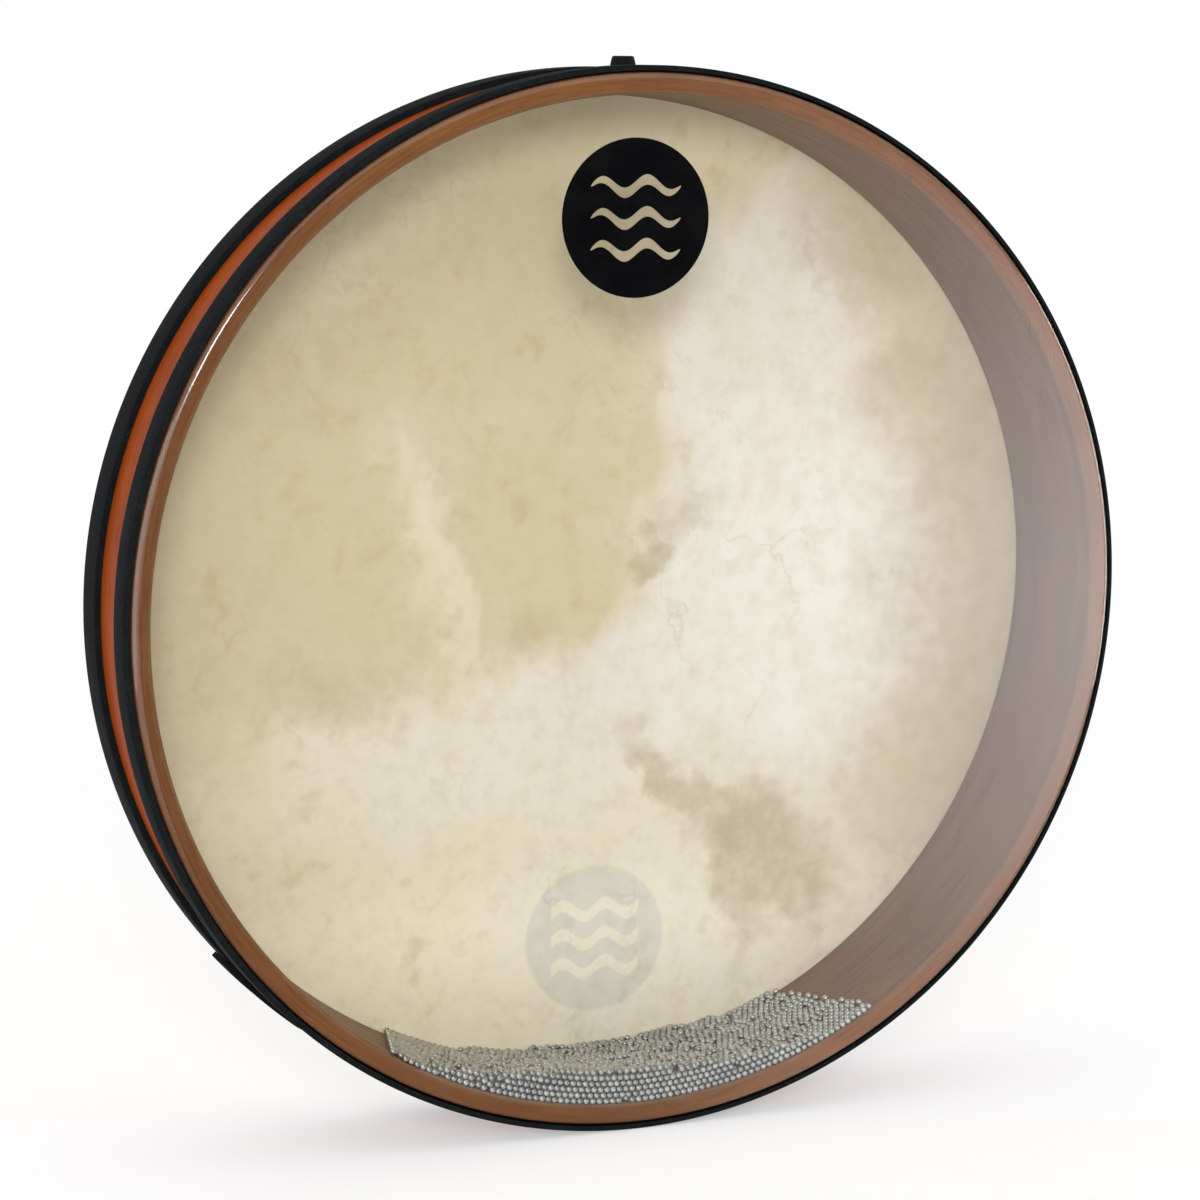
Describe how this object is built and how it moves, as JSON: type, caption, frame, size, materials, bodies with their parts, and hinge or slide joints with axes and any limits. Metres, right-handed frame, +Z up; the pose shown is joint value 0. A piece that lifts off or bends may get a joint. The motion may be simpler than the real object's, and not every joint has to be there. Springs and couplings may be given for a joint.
{
  "type": "sea drum",
  "caption": "Shallow round frame drum with a clear film head in front, a skin head behind and steel balls loose between them, with black edge bands, badges and a filler plug.",
  "frame": {"origin": "the middle of the drum's depth at the rim's lowest point, below the drum's axis, as the drum is held upright", "axes": "+Z up, through the filler plug on the rim's top; -Y out of the clear head and +Y out of the skin head, along the drum's axis; +X to the right as seen from the clear head"},
  "size_m": [0.4656, 0.071, 0.4695],
  "materials": {
    "bent_wood": "satin",
    "clear_film": "gloss",
    "goat_skin": "matte",
    "black_trim": "matte",
    "black_rubber": "matte",
    "badge": "satin",
    "steel_balls": "polished"
  },
  "bodies": {
    "drum": {"frame_shell": "bent_wood", "clear_head": "clear_film", "skin_head": "goat_skin", "front_trim": "black_trim", "rear_trim": "black_trim", "front_badge": "badge", "rear_badge": "badge"},
    "plug": {"filler_plug": "black_rubber"},
    "ball_heap": {"ball_fill": "steel_balls"},
    "loose_ball_01": {"loose_ball_01": "steel_balls"},
    "loose_ball_02": {"loose_ball_02": "steel_balls"},
    "loose_ball_03": {"loose_ball_03": "steel_balls"},
    "loose_ball_04": {"loose_ball_04": "steel_balls"},
    "loose_ball_05": {"loose_ball_05": "steel_balls"},
    "loose_ball_06": {"loose_ball_06": "steel_balls"},
    "loose_ball_07": {"loose_ball_07": "steel_balls"},
    "loose_ball_08": {"loose_ball_08": "steel_balls"},
    "loose_ball_09": {"loose_ball_09": "steel_balls"},
    "loose_ball_10": {"loose_ball_10": "steel_balls"},
    "loose_ball_11": {"loose_ball_11": "steel_balls"},
    "loose_ball_12": {"loose_ball_12": "steel_balls"}
  },
  "joints": [
    {"name": "plug_pull", "type": "slide", "parent": "drum", "child": "plug", "axis": [0, 0, 1], "range_m": [0, 0.025]},
    {"name": "heap_slides_round_shell", "type": "hinge", "parent": "drum", "child": "ball_heap", "pos_m": [0, 0, 0.2328], "axis": [0, 1, 0], "continuous": true},
    {"name": "loose_ball_01_rolls", "type": "hinge", "parent": "ball_heap", "child": "loose_ball_01", "pos_m": [0, 0, 0.2328], "axis": [0, 1, 0], "range_deg": [0, 290]},
    {"name": "loose_ball_02_rolls", "type": "hinge", "parent": "ball_heap", "child": "loose_ball_02", "pos_m": [0, 0, 0.2328], "axis": [0, 1, 0], "range_deg": [0, 290]},
    {"name": "loose_ball_03_rolls", "type": "hinge", "parent": "ball_heap", "child": "loose_ball_03", "pos_m": [0, 0, 0.2328], "axis": [0, 1, 0], "range_deg": [0, 290]},
    {"name": "loose_ball_04_rolls", "type": "hinge", "parent": "ball_heap", "child": "loose_ball_04", "pos_m": [0, 0, 0.2328], "axis": [0, 1, 0], "range_deg": [0, 290]},
    {"name": "loose_ball_05_rolls", "type": "hinge", "parent": "ball_heap", "child": "loose_ball_05", "pos_m": [0, 0, 0.2328], "axis": [0, 1, 0], "range_deg": [0, 290]},
    {"name": "loose_ball_06_rolls", "type": "hinge", "parent": "ball_heap", "child": "loose_ball_06", "pos_m": [0, 0, 0.2328], "axis": [0, 1, 0], "range_deg": [0, 290]},
    {"name": "loose_ball_07_rolls", "type": "hinge", "parent": "ball_heap", "child": "loose_ball_07", "pos_m": [0, 0, 0.2328], "axis": [0, 1, 0], "range_deg": [-290, 0]},
    {"name": "loose_ball_08_rolls", "type": "hinge", "parent": "ball_heap", "child": "loose_ball_08", "pos_m": [0, 0, 0.2328], "axis": [0, 1, 0], "range_deg": [-290, 0]},
    {"name": "loose_ball_09_rolls", "type": "hinge", "parent": "ball_heap", "child": "loose_ball_09", "pos_m": [0, 0, 0.2328], "axis": [0, 1, 0], "range_deg": [-290, 0]},
    {"name": "loose_ball_10_rolls", "type": "hinge", "parent": "ball_heap", "child": "loose_ball_10", "pos_m": [0, 0, 0.2328], "axis": [0, 1, 0], "range_deg": [-290, 0]},
    {"name": "loose_ball_11_rolls", "type": "hinge", "parent": "ball_heap", "child": "loose_ball_11", "pos_m": [0, 0, 0.2328], "axis": [0, 1, 0], "range_deg": [-290, 0]},
    {"name": "loose_ball_12_rolls", "type": "hinge", "parent": "ball_heap", "child": "loose_ball_12", "pos_m": [0, 0, 0.2328], "axis": [0, 1, 0], "range_deg": [-290, 0]}
  ]
}
